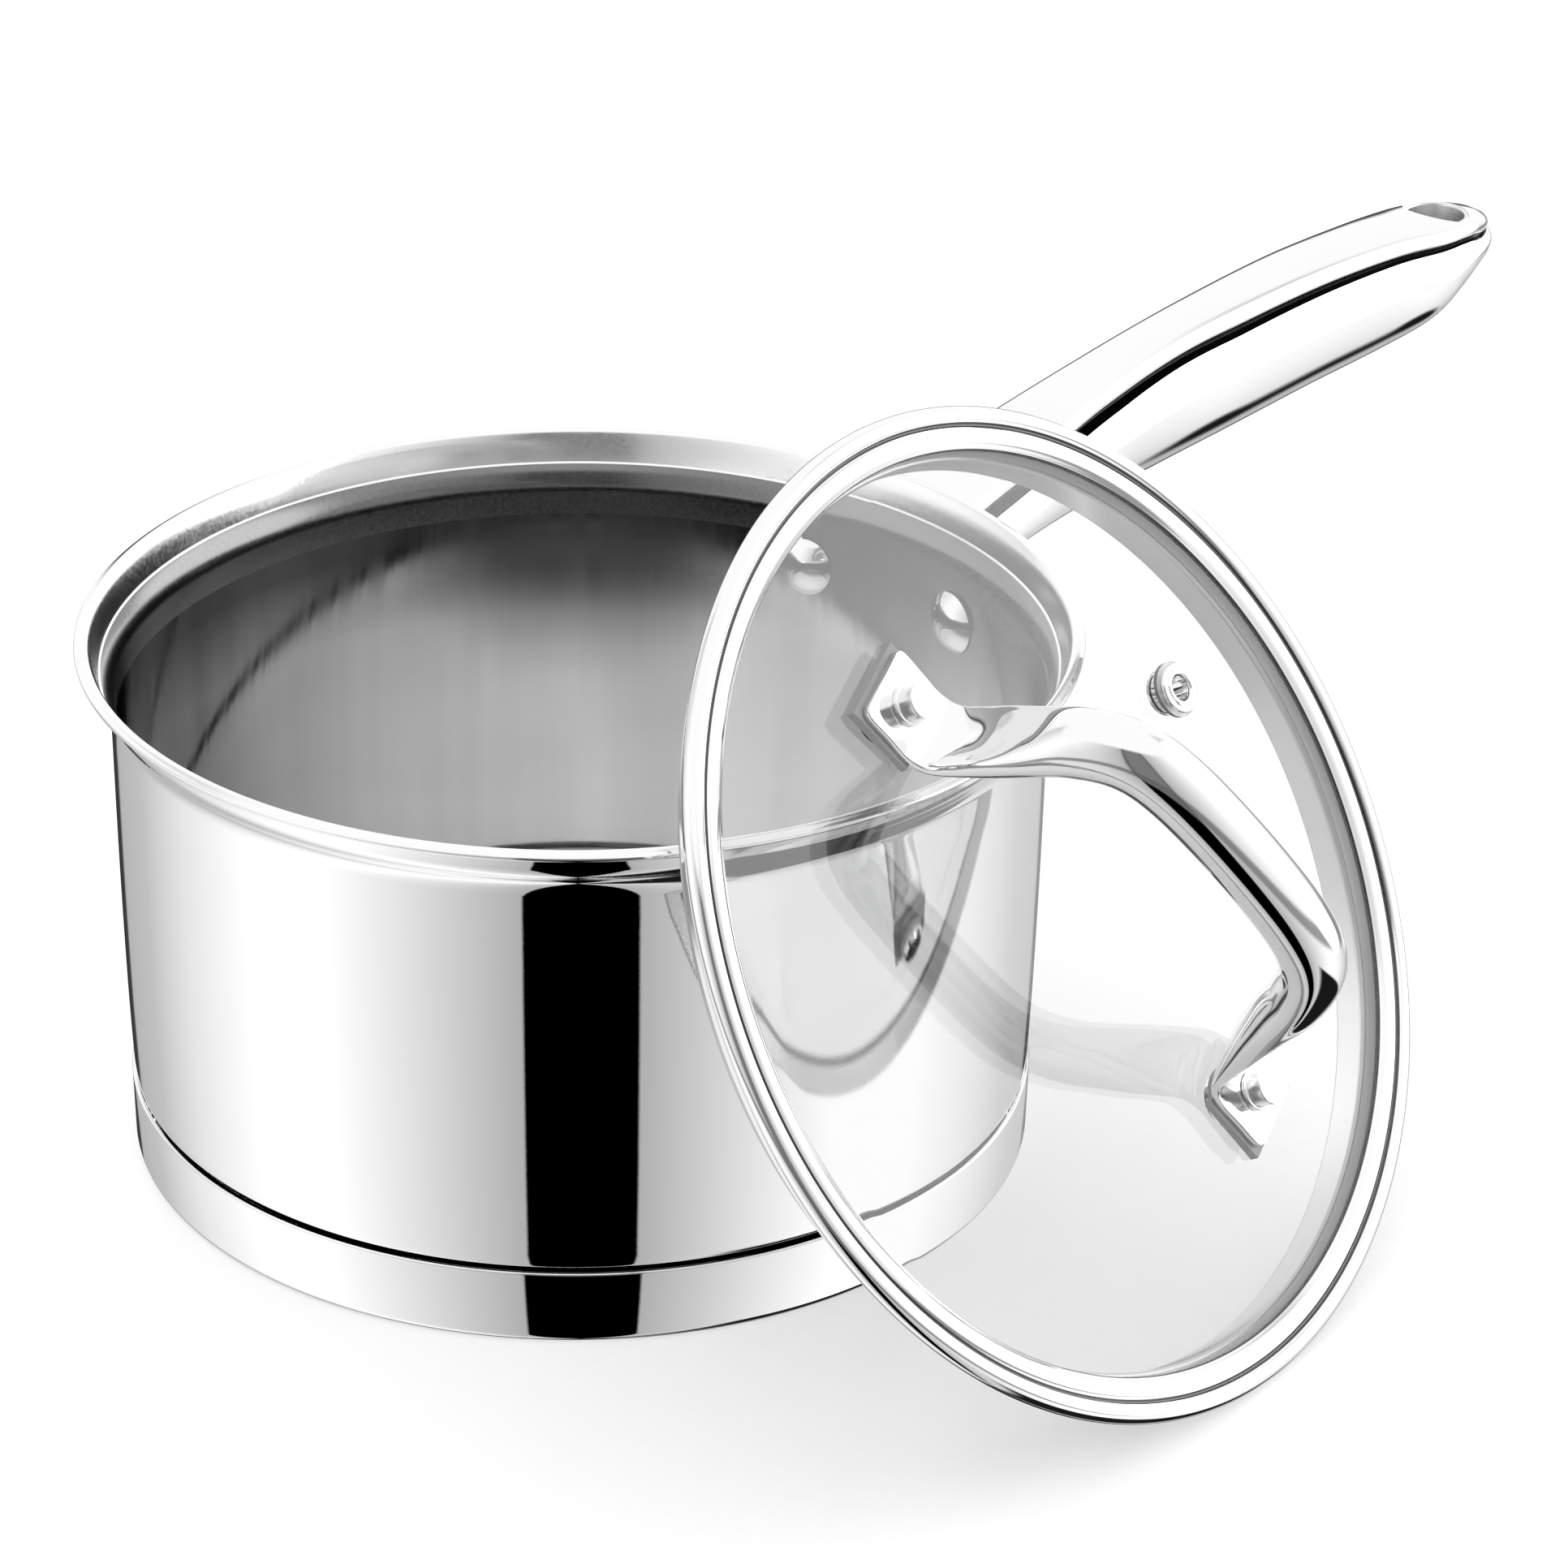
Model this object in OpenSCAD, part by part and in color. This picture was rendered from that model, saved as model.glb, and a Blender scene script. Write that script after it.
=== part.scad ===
// Saucepan with a glass lid. The pan stands on its base with its long handle
// along +X. The lid stands on its edge beside the pan and leans on the rim.
// The origin is the centre of the base, on the surface the pan stands on.

/* [Pan] */
// Outer radius of the wall just under the rim
wall_r = 81; // [80.5:0.1:81.5]
// Height of the rim's crown above the table
pan_h = 97; // [95:0.5:100]
// Outer radius of the curled rim
rim_r = 87; // [86.5:0.1:87.5]
// Thickness of the steel wall
wall_t = 0.8; // [0.7:0.1:0.9]
// Height of the steel cap around the base
cap_h = 13.7; // [13.4:0.1:13.9]
// Height of the underside of the pan's floor
floor_z = 6.5; // [6:0.1:7]

/* [Handle] */
// Height of the two rivets
rivet_z = 76; // [74:0.5:78]
// Angle of each rivet from the handle's middle plane
rivet_angle = 13; // [12:0.5:14]
// Distance of the hanging hole from the pan's axis
hang_x = 248; // [246:0.5:250]
// Radius of the opening through the hanging hole's sleeve
hang_r = 5.8; // [5:0.1:6]
// Wall thickness of the two pressed handle shells
handle_t = 1.1; // [0.9:0.1:1.2]

/* [Lid] */
// Outer radius of the rolled bead
lid_r = 86.9; // [86.5:0.1:87.2]
// Thickness of the tempered glass
glass_t = 4; // [3.5:0.1:4]
// Rise of the glass from its edge to its centre
glass_rise = 2.4; // [2:0.1:3]
// Distance of each handle post from the lid's centre
post_x = 48; // [47:0.5:49]
// Height of the lid handle's middle line over the bead's plane
lid_handle_h = 39.4; // [38:0.2:42]
// Distance of the steam vent from the lid's centre
vent_y = 52; // [50:0.5:56]

/* [Lid position] */
// Lean of the lid from upright, in degrees
lid_lean = 31.6; // [31:0.2:32]
// Direction in which the lid stands, in degrees from the pan handle
lid_azimuth = -84; // [-86:0.5:-82]
// Turn of the lid in its own plane, in degrees
lid_turn = 24.5; // [20:0.5:28]

/* [Hidden] */
fn_round = 96;
fn_small = 48;

// Pan body
wall_in = wall_r - wall_t;
foot_r = wall_r - 2.8;
foot_in_r = foot_r - 0.2;
groove_r = foot_r + 1.1;
groove_h = 1.2;
corner_r = 7;
floor_in_z = floor_z + wall_t;
fillet_in_r = 9;
flare_r = 6;
flare_z = pan_h - 11;
cap_r = wall_r - 1.2;
cap_t = 0.7;
cap_fillet = 1.5;
cap_taper = 0.3;
cap_edge = 0.3;
core_r = 76;
rim_edge_r = 0.45;
rim_edge_z = pan_h - 1.05;

// Saddle plate and rivets
bracket_t = 2;
bracket_r = wall_r + 0.1;
bracket_half_w = 27;
bracket_low = 63;
bracket_high = 86.5;
bracket_corner = 7;
bracket_reach = wall_r + 9;
rivet_shank_r = 3;
rivet_tail_r = 4.6;
rivet_tail_h = 1.5;
hole_gap = 0.05;
rivet_head_r = 5.8;
rivet_head_h = 2.6;

// Long handle: [distance from the axis, spine height, half width, belly height]
handle_stations = [[78, 88.5, 15, 71], [92, 93.2, 10.6, 73.4], [112, 97.5, 9.4, 75.6],
                   [135, 102, 7.4, 76.4], [158, 105, 6.6, 77], [180, 106.5, 7.1, 78],
                   [203, 107.1, 7.7, 79.2], [225, 106.3, 8.3, 80.1], [239, 105, 9.3, 81.9],
                   [246.5, 104.3, 8.9, 86.2], [253, 103.2, 7.6, 91], [258, 101.7, 5.8, 93.2],
                   [261, 100.2, 3.8, 94], [262.5, 99.4, 1.9, 94.8], [262.9, 99.1, 0.5, 95.4]];
cap_rise = 3.5;
full_half_w = 7;
belly_bulge = 1.5;
seam_inset = 0.3;
seam_gap = 0.1;
handle_steps = 4;
arch_steps = 12;
sleeve_t = 0.9;
sleeve_low = 90;
sleeve_high = 102.6;
sleeve_gap = 0.02;

// Lid: heights are measured from the plane of the bead's widest circle
bead_r = 1.8;
glass_edge_r = 82.8;
glass_flat_r = 78.5;
glass_top = 2.4;
glass_curve_r = pow(glass_flat_r, 2) / (2 * glass_rise);
glass_edge_top = glass_top - glass_rise;
glass_edge_low = glass_edge_top - glass_t;
channel_t = 0.8;
seal_t = 0.5;
skirt_r = 78.6;
skirt_low = -10.4;
vent_hole_r = 2.2;
vent_tube_r = 3.1;
post_r = 3.1;
shank_r = 2.4;
plate_half_w = 7.7;
plate_half_t = 0.8;
plate_t = 2 * plate_half_t;
plate_low = 2.9;
plate_end = post_x + 6.4;
plate_top = plate_low + plate_t;
post_top = plate_top + 3.8;
pad_half_w = 8.4;
pad_in = 6.3;
pad_out = 7.5;
pad_low = 0.6;
washer_r = 5.6;
washer_t = 1;
nut_r = 5;

// Where the leaning lid touches the pan, 27 mm up its glass from the centre
touch_up = 27;
touch_gap = 0.3;
glass_under_touch = glass_top - pow(touch_up, 2) / (2 * glass_curve_r) - glass_t;
lid_z = (lid_r - bead_r) * cos(lid_lean) + bead_r + 0.05;
lid_out = rim_r - rim_edge_r + ((rim_edge_z - lid_z) * sin(lid_lean)
          + rim_edge_r + touch_gap - glass_under_touch) / cos(lid_lean);

steel = "#c9cbcd";
bright = "#e3e5e6";
alu = "#b3b6b8";
silicone = "#e9e9e4";
glass_tint = [0.85, 0.92, 0.93, 0.35];

// Points of an arc from angle a0 to a1
function arc(cx, cy, r, a0, a1, n) =
    [for (i = [0:n]) let (a = a0 + (a1 - a0) * i / n) [cx + r * cos(a), cy + r * sin(a)]];

// Smooth curve through a list of stations, with steps points on each span
function spline_at(p0, p1, p2, p3, t) =
    0.5 * (2 * p1 + (p2 - p0) * t + (2 * p0 - 5 * p1 + 4 * p2 - p3) * t * t
           + (3 * p1 - p0 - 3 * p2 + p3) * t * t * t);
function smooth(p, steps) = let (last = len(p) - 1)
    [for (i = [0:last - 1]) for (k = [0:steps - 1])
        spline_at(p[max(i - 1, 0)], p[i], p[i + 1], p[min(i + 2, last)], k / steps), p[last]];

// Closed solid through a list of rings with the same even number of points. Each end
// is closed by strips across the ring, from its first and last points to its middle.
module loft(rings) {
    n = len(rings[0]);
    m = len(rings);
    points = [for (ring = rings) for (p = ring) p];
    sides = [for (i = [0:m - 2]) for (j = [0:n - 1]) let (k = (j + 1) % n)
             for (f = [[i * n + j, (i + 1) * n + k, i * n + k],
                       [i * n + j, (i + 1) * n + j, (i + 1) * n + k]]) f];
    first = [for (j = [0:n / 2 - 2]) [j, j + 1, n - 2 - j, n - 1 - j]];
    last = [for (f = first) [for (k = [3:-1:0]) (m - 1) * n + f[k]]];
    polyhedron(points, concat(sides, first, last), convexity = 6);
}

module lid_place() {
    translate([lid_out * cos(lid_azimuth), lid_out * sin(lid_azimuth), lid_z])
        rotate([0, 90 - lid_lean, lid_azimuth])
            rotate([0, 0, lid_turn]) children();
}

// ---- pan ----

// Drawn body: floor, corner, tapered wall, and a flare up to the crowned pouring lip
module pan_shell() {
    groove_top = cap_h + groove_h;
    flare_x = wall_r + flare_r;
    outside = concat(
        [[0, floor_z]],
        arc(foot_r - corner_r, floor_z + corner_r, corner_r, -90, 0, 8),
        [[foot_r, groove_top - 0.6], [groove_r, groove_top], [wall_r - 1, 31], [wall_r - 0.4, 55], [wall_r, flare_z - 4]],
        arc(flare_x, flare_z, flare_r, 180, 130, 6),
        [[rim_r - 3, pan_h - 4.2], [rim_r - 2.6, pan_h - 2.6], [rim_r - 1.8, pan_h - 1.7]],
        arc(rim_r - rim_edge_r, rim_edge_z, rim_edge_r, -90, 70, 6));
    inside = concat(
        arc(rim_r - 2.25, pan_h - 1, 1, 75, 150, 6),
        [[rim_r - 3.5, pan_h - 1.8], [rim_r - 3.9, pan_h - 3.8], [rim_r - 4.25, pan_h - 5.6]],
        arc(flare_x, flare_z, flare_r + wall_t, 128, 180, 6),
        [[wall_in, flare_z - 4], [wall_in - 0.4, 55], [wall_in - 1, 31]],
        arc(foot_in_r - fillet_in_r, floor_in_z + fillet_in_r, fillet_in_r, 0, -90, 8),
        [[0, floor_in_z]]);
    color(bright) difference() {
        rotate_extrude($fn = fn_round) polygon(concat(outside, inside));
        for (side = [-1, 1])
            rivet_axis(side) cylinder(r = rivet_shank_r + hole_gap, h = bracket_reach, $fn = fn_small);
    }
}

module base_core() {
    color(alu) translate([0, 0, cap_t]) cylinder(r = core_r, h = floor_z - cap_t, $fn = fn_round);
}

// Steel cap pressed round the base, with a rounded lower corner
module base_cap() {
    flat_r = cap_r - cap_taper - cap_fillet;
    color(bright) rotate_extrude($fn = fn_round) polygon(concat(
        [[0, 0]],
        arc(flat_r, cap_fillet, cap_fillet, -90, 0, 6),
        [[cap_r, cap_h - cap_edge], [cap_r - cap_edge, cap_h], [cap_r - cap_t, cap_h]],
        arc(flat_r, cap_fillet, cap_fillet - cap_t, 0, -90, 6),
        [[0, cap_t]]));
}

module rivet_axis(side) {
    rotate([0, 0, side * rivet_angle]) translate([0, 0, rivet_z]) rotate([0, 90, 0]) children();
}

// Curved plate that hugs the wall, with a hole for each rivet
module handle_bracket() {
    mid_z = (bracket_low + bracket_high) / 2;
    half_h = (bracket_high - bracket_low) / 2;
    color(steel) difference() {
        intersection() {
            cylinder(r = bracket_r + bracket_t, h = pan_h, $fn = fn_round);
            union() {
                translate([0, -bracket_half_w + bracket_corner, bracket_low])
                    cube([bracket_reach, 2 * (bracket_half_w - bracket_corner), 2 * half_h]);
                translate([0, -bracket_half_w, bracket_low + bracket_corner])
                    cube([bracket_reach, 2 * bracket_half_w, 2 * (half_h - bracket_corner)]);
                for (y = [-1, 1], z = [-1, 1])
                    translate([0, y * (bracket_half_w - bracket_corner),
                               mid_z + z * (half_h - bracket_corner)])
                        rotate([0, 90, 0])
                            cylinder(r = bracket_corner, h = bracket_reach, $fn = fn_small);
            }
        }
        cylinder(r = bracket_r, h = pan_h, $fn = fn_round);
        for (side = [-1, 1])
            rivet_axis(side) cylinder(r = rivet_shank_r + hole_gap, h = bracket_reach, $fn = fn_small);
    }
}

// Rivet with a domed head inside the pan and a low head outside
module rivet(side) {
    dome_r = (pow(rivet_head_r, 2) + pow(rivet_head_h, 2)) / (2 * rivet_head_h);
    dome_a = asin(rivet_head_r / dome_r);
    seat = wall_in - 0.55;
    outer = bracket_r + bracket_t + 0.1;
    color(bright) rivet_axis(side) rotate_extrude($fn = fn_small) polygon(concat(
        [for (i = [0:6]) let (a = dome_a * i / 6)
            [dome_r * sin(a), seat - rivet_head_h + dome_r * (1 - cos(a))]],
        [[rivet_shank_r, seat], [rivet_shank_r, outer], [rivet_tail_r, outer],
         [rivet_tail_r - 0.6, outer + 1.2], [0, outer + rivet_tail_h]]));
}

// Sections of the handle, at every station: [x, spine z, half width, belly z]
handle_rings = smooth(handle_stations, handle_steps);
function fullness(half_w) = min(1, half_w / full_half_w);

// What both shells leave free: the bracket on the wall and the hanging hole's sleeve
module handle_cuts() {
    cylinder(r = bracket_r + bracket_t + 0.1, h = 2 * pan_h, $fn = fn_round);
    translate([hang_x, 0, 0])
        cylinder(r = hang_r + sleeve_t + sleeve_gap, h = 2 * pan_h, $fn = fn_small);
}

// Upper shell: an arch over the seam line, open below
module handle_upper_shell() {
    color(bright) difference() {
        loft([for (s = handle_rings) let (
            rise = cap_rise * fullness(s[2]),
            seam = s[1] - rise,
            w_in = max(s[2] - handle_t, s[2] * 0.5),
            r_in = max(rise - handle_t, rise * 0.4))
            concat(
                [for (i = [0:arch_steps]) let (a = 180 * i / arch_steps)
                    [s[0], s[2] * cos(a), seam + rise * sin(a)]],
                [for (i = [arch_steps:-1:0]) let (a = 180 * i / arch_steps)
                    [s[0], w_in * cos(a), seam + r_in * sin(a)]])]);
        handle_cuts();
    }
}

// Lower shell: a deep trough that meets the upper shell at an inset seam
module handle_lower_shell() {
    color(bright) difference() {
        loft([for (s = handle_rings) let (
            seam = s[1] - cap_rise * fullness(s[2]) - seam_gap,
            w = s[2] + belly_bulge * fullness(s[2]),
            a0 = acos((s[2] - min(seam_inset, s[2] / 4)) / w),
            half = (seam - s[3]) / (1 + sin(a0)),
            mid = s[3] + half,
            t = min(handle_t, s[2] * 0.4))
            concat(
                [for (i = [0:arch_steps]) let (a = 180 - a0 + (180 + 2 * a0) * i / arch_steps)
                    [s[0], w * cos(a), mid + half * sin(a)]],
                [for (i = [arch_steps:-1:0]) let (
                    a = 180 - a0 + (180 + 2 * a0) * i / arch_steps,
                    z = mid + (half - t) * sin(a))
                    [s[0], (w - t) * cos(a), i % arch_steps == 0 ? seam : z]])]);
        handle_cuts();
    }
}

// Tube that lines the hanging hole
module hang_hole_sleeve() {
    color(steel) translate([hang_x, 0, sleeve_low]) difference() {
        cylinder(r = hang_r + sleeve_t, h = sleeve_high - sleeve_low, $fn = fn_small);
        translate([0, 0, -1]) cylinder(r = hang_r, h = sleeve_high - sleeve_low + 2, $fn = fn_small);
    }
}

// ---- lid, drawn flat about its own centre with its handle along X ----

function glass_z(r) = glass_top - min(pow(r, 2) / (2 * glass_curve_r), glass_rise);

module glass_body() {
    n = 8;
    top = [for (i = [0:n]) let (r = glass_flat_r * i / n) [r, glass_z(r)]];
    low = [for (i = [n:-1:0]) let (r = glass_flat_r * i / n) [r, glass_z(r) - glass_t]];
    rotate_extrude($fn = fn_round) polygon(concat(
        top, [[glass_edge_r - 0.6, glass_edge_top], [glass_edge_r, glass_edge_top - 0.6],
              [glass_edge_r, glass_edge_low + 0.6], [glass_edge_r - 0.6, glass_edge_low]], low));
}

module post_spots(x) {
    translate([x, 0, 0]) children();
}

// Tempered glass with a hole for each post and one for the vent
module lid_glass() {
    color(glass_tint) lid_place() difference() {
        glass_body();
        for (x = [-post_x, post_x])
            translate([x, 0, -9]) cylinder(r = shank_r + 0.6, h = 18, $fn = fn_small);
        translate([0, vent_y, -9]) cylinder(r = vent_tube_r + 0.5, h = 18, $fn = fn_small);
    }
}

// Steel rim: channel round the glass edge, rolled bead and locating skirt
module lid_rim() {
    under = glass_edge_low - seal_t;
    web = glass_edge_r + seal_t;
    color(bright) lid_place() rotate_extrude($fn = fn_round) polygon(concat(
        [[skirt_r - channel_t, skirt_low], [skirt_r, skirt_low], [skirt_r, under - channel_t],
         [web, under - channel_t]],
        arc(lid_r - bead_r, 0, bead_r, -110, 110, 12),
        [[web, glass_edge_top + channel_t + 0.35], [glass_flat_r + 1.2, glass_edge_top + channel_t],
         [glass_flat_r + 0.8, glass_edge_top + 0.05], [web, glass_edge_top + 0.05],
         [web, under], [skirt_r - channel_t, under]]));
}

// Silicone between the glass edge and the steel channel
module lid_rim_seal() {
    under = glass_edge_low - seal_t;
    color(silicone) lid_place() rotate_extrude($fn = fn_round) polygon(
        [[skirt_r, under], [glass_edge_r + seal_t, under], [glass_edge_r + seal_t, glass_edge_top],
         [glass_edge_r + 0.02, glass_edge_top], [glass_edge_r + 0.02, glass_edge_low - 0.02],
         [skirt_r, glass_edge_low - 0.02]]);
}

// Steam vent: a hollow rivet with a rolled lip on both sides of the glass
module vent_eyelet() {
    top = glass_z(vent_y);
    low = top - glass_t;
    color(bright) lid_place() translate([0, vent_y, 0]) rotate_extrude($fn = fn_small) polygon(concat(
        [[vent_hole_r, low - 0.9], [4.6, low - 0.9], [4.8, low - 0.5], [4.8, low - 0.25],
         [vent_tube_r, low - 0.25], [vent_tube_r, top + 0.9], [3.8, top + 0.9]],
        arc(3.9, top + 1.5, 0.6, -90, 110, 6),
        arc(3.0, top + 1.6, 0.8, 80, 180, 5)));
}

// Silicone ring under the vent's upper lip
module vent_gasket() {
    top = glass_z(vent_y);
    color(silicone) lid_place() translate([0, vent_y, 0]) difference() {
        translate([0, 0, top - 0.1]) cylinder(r = 4.9, h = 0.95, $fn = fn_small);
        translate([0, 0, top - 1]) cylinder(r = vent_tube_r + 0.02, h = 4, $fn = fn_small);
        translate([0, -vent_y, 0]) glass_body();
    }
}

// Sections of the lid handle: [x, height, half width, half thickness, squareness]
plate_mid = plate_low + plate_half_t;
handle_half = [[-plate_end, plate_mid, plate_half_w - 1.3, plate_half_t, 6],
               [-plate_end + 1.2, plate_mid, plate_half_w, plate_half_t, 6],
               [-post_x, plate_mid, plate_half_w, plate_half_t, 6],
               [-42.5, plate_mid + 0.1, plate_half_w, plate_half_t, 6],
               [-39.6, 5.4, 7.7, 1.1, 4], [-37.6, 9.6, 7.6, 2.3, 2.6], [-35.9, 14.6, 7.4, 3.6, 2.2],
               [-33.6, 21, 7, 4.7, 2], [-30.6, 28.6, 6.5, 5.4, 2], [-25, 35.4, 6.2, 5.7, 2],
               [-16, lid_handle_h - 0.9, 6.1, 5.8, 2], [0, lid_handle_h, 6.1, 5.8, 2]];
handle_path = smooth(concat(handle_half,
    [for (i = [len(handle_half) - 2:-1:0]) let (p = handle_half[i]) [-p[0], p[1], p[2], p[3], p[4]]]), 3);
handle_sides = 24;
function super(c, n) = sign(c) * pow(abs(c), 2 / n);

// Bent tube whose two ends are pressed flat into square plates
module lid_handle() {
    last = len(handle_path) - 1;
    rings = [for (i = [0:last]) let (
        p = handle_path[i],
        q = handle_path[max(i - 1, 0)],
        r = handle_path[min(i + 1, last)],
        d = [r[0] - q[0], r[1] - q[1]] / norm([r[0] - q[0], r[1] - q[1]]))
        [for (j = [0:handle_sides - 1]) let (
            a = 360 * j / handle_sides,
            across = p[2] * super(cos(a), p[4]),
            thick = p[3] * super(sin(a), p[4]))
            [p[0] - d[1] * thick, across, p[1] + d[0] * thick]]];
    color(bright) lid_place() difference() {
        loft(rings);
        for (x = [-post_x, post_x])
            translate([x, 0, plate_low - 1])
                cylinder(r = shank_r + hole_gap, h = plate_t + 2, $fn = fn_small);
    }
}

// Stud: flat-topped head on the plate, shank through the glass
module lid_post(side) {
    low = glass_z(post_x) - glass_t - 2.2;
    color(bright) lid_place() post_spots(side * post_x) rotate_extrude($fn = fn_small) polygon(
        [[0, low], [shank_r, low], [shank_r, plate_top + 0.05], [post_r + 0.3, plate_top + 0.05],
         [post_r + 0.3, plate_top + 0.6], [post_r, plate_top + 0.8], [post_r, post_top - 0.3],
         [post_r - 0.3, post_top], [0, post_top]]);
}

// Silicone pad between the glass and a handle plate
module lid_pad(side) {
    color(silicone) lid_place() difference() {
        translate([side * (post_x + (pad_out - pad_in) / 2) - (pad_out + pad_in) / 2, -pad_half_w, pad_low])
            cube([pad_out + pad_in, 2 * pad_half_w, plate_low - pad_low - 0.06]);
        translate([side * post_x, 0, 0]) cylinder(r = shank_r + 0.3, h = 9, $fn = fn_small);
        glass_body();
    }
}

// Silicone washer under the glass
module lid_washer(side) {
    low = glass_z(post_x) - glass_t;
    color(silicone) lid_place() difference() {
        translate([side * post_x, 0, low - washer_t])
            cylinder(r = washer_r, h = washer_t + 0.6, $fn = fn_small);
        translate([side * post_x, 0, low - 3]) cylinder(r = shank_r + 0.3, h = 6, $fn = fn_small);
        glass_body();
    }
}

// Round steel nut that closes the stud inside the lid
module lid_nut(side) {
    low = glass_z(post_x) - glass_t - 1.05;
    color(steel) lid_place() post_spots(side * post_x) rotate_extrude($fn = fn_small) polygon(
        [[shank_r + hole_gap, low], [nut_r, low], [nut_r, low - 1], [nut_r - 0.8, low - 1.9],
         [0, low - 1.9], [0, low - 1.2], [shank_r + hole_gap, low - 1.2]]);
}

pan_shell();
base_core();
base_cap();
handle_bracket();
handle_upper_shell();
handle_lower_shell();
hang_hole_sleeve();
rivet(1);  // pan_rivet_left
rivet(-1);  // pan_rivet_right
lid_glass();
lid_rim();
lid_rim_seal();
vent_eyelet();
vent_gasket();
lid_handle();
lid_post(-1);  // lid_post_upper
lid_post(1);  // lid_post_lower
lid_pad(-1);  // lid_pad_upper
lid_pad(1);  // lid_pad_lower
lid_washer(-1);  // lid_washer_upper
lid_washer(1);  // lid_washer_lower
lid_nut(-1);  // lid_nut_upper
lid_nut(1);  // lid_nut_lower
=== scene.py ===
import math

import bpy
from mathutils import Matrix, Vector


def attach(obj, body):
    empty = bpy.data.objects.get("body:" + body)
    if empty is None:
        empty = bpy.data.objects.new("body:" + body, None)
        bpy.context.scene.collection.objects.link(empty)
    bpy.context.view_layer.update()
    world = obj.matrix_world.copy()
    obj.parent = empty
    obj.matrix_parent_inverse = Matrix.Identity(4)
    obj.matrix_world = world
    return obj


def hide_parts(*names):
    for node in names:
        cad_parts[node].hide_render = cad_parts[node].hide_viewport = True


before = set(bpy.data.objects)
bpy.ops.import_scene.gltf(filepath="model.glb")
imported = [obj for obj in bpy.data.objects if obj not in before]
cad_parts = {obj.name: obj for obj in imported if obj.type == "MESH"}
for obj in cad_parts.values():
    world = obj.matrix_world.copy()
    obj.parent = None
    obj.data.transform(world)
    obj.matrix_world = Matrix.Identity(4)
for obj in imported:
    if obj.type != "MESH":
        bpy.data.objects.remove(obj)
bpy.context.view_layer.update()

MM = 0.001

# ---- driving dimensions, in millimetres as on the part's drawing ----
WALL_R = 81
WALL_T = 0.8
PAN_H = 97
RIM_R = 87
FLOOR_Z = 6.5
CAP_H = 13.7
CAP_R = WALL_R - 1.2
CAP_T = 0.7
CAP_FILLET = 1.5
FOOT_R = WALL_R - 2.8
CORNER_R = 7
FILLET_IN_R = 9
FLARE_R = 6
FLARE_Z = PAN_H - 11
RIM_EDGE_R = 0.45
RIM_EDGE_Z = PAN_H - 1.05
BRACKET_OUT = WALL_R + 2.2
FOOT_IN_R = FOOT_R - 0.2

RIVET_Z = 76
RIVET_ANGLE = 13
RIVET_HEAD_R = 5.8
RIVET_HEAD_H = 2.6
RIVET_SHANK_R = 3
RIVET_TAIL_R = 4.6

HANG_X = 248
HANG_R = 5.8
SLEEVE_T = 0.9
SLEEVE_LOW = 90
SLEEVE_HIGH = 102.3

# Long handle: distance from the pan's axis, spine height, half width, belly height
HANDLE_STATIONS = (
    (78, 88.5, 15, 71), (92, 93.2, 10.6, 73.4), (112, 97.5, 9.4, 75.6), (135, 102, 7.4, 76.4),
    (158, 105, 6.6, 77), (180, 106.5, 7.1, 78), (203, 107.1, 7.7, 79.2), (225, 106.3, 8.3, 80.1),
    (239, 105, 9.3, 81.9), (246.5, 104.3, 8.9, 86.2), (253, 103.2, 7.6, 91), (258, 101.7, 5.8, 93.2),
    (261, 100.2, 3.8, 94), (262.5, 99.4, 1.9, 94.8), (262.9, 99.1, 0.5, 95.4),
)
CAP_RISE = 3.5
FULL_HALF_W = 7
BELLY_BULGE = 1.5
# Height of the crease between the two shells, near the pan and at the tip
CREASE_ROOT = (110, 4.6)
CREASE_TIP = (245, 1.9)
# Heights that clear the handle, for the tools that cut it
HANDLE_CUT = (40, 130)

LID_R = 86.9
BEAD_R = 1.8
GLASS_T = 4
GLASS_RISE = 2.4
GLASS_FLAT_R = 78.5
GLASS_EDGE_R = 82.8
# Heights that clear the glass, for the tools that cut it
GLASS_CUT = (-20, 20)
STUD_HOLE_R = 3
VENT_HOLE_R = 3.6
POST_X = 48
POST_R = 3.1
PLATE_LOW = 2.9
PLATE_T = 1.6
PLATE_HALF_T = PLATE_T / 2
PLATE_MID = PLATE_LOW + PLATE_HALF_T
PLATE_TOP = PLATE_LOW + PLATE_T
PLATE_HALF_W = 7.7
PLATE_END = POST_X + 6.4
LID_HANDLE_H = 39.4
VENT_Y = 52

# How the lid leans, in degrees
LID_LEAN = 31.6
LID_AZIMUTH = -84
LID_TURN = 24.5
# Where the glass meets the pan's rim, up the glass from its centre, and the room left there
TOUCH_UP = 27
TOUCH_GAP = 0.3

# Camera: place, heading and lens
CAMERA_PLACE = (-0.7035, -0.6768, 0.5586)
CAMERA_HEADING = 41.755
CAMERA_PITCH = 26.77
CAMERA_ROLL = 0.713
CAMERA_LENS = 142.56

# Directions away from the camera, to its right and upward, along which shade is painted into the pan's inner
# wall and floor
AWAY = (math.cos(math.radians(CAMERA_HEADING)), math.sin(math.radians(CAMERA_HEADING)), 0)
ASIDE = (AWAY[1], -AWAY[0], 0)
UP = (0, 0, 1)


# ---- outlines ----

def arc(cx, cz, r, start, end, steps=10):
    """Points of an arc in an outline, from one angle to another in degrees."""
    angles = [math.radians(start + (end - start) * i / steps) for i in range(steps + 1)]
    return [(cx + r * math.cos(a), cz + r * math.sin(a)) for a in angles]


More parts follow.
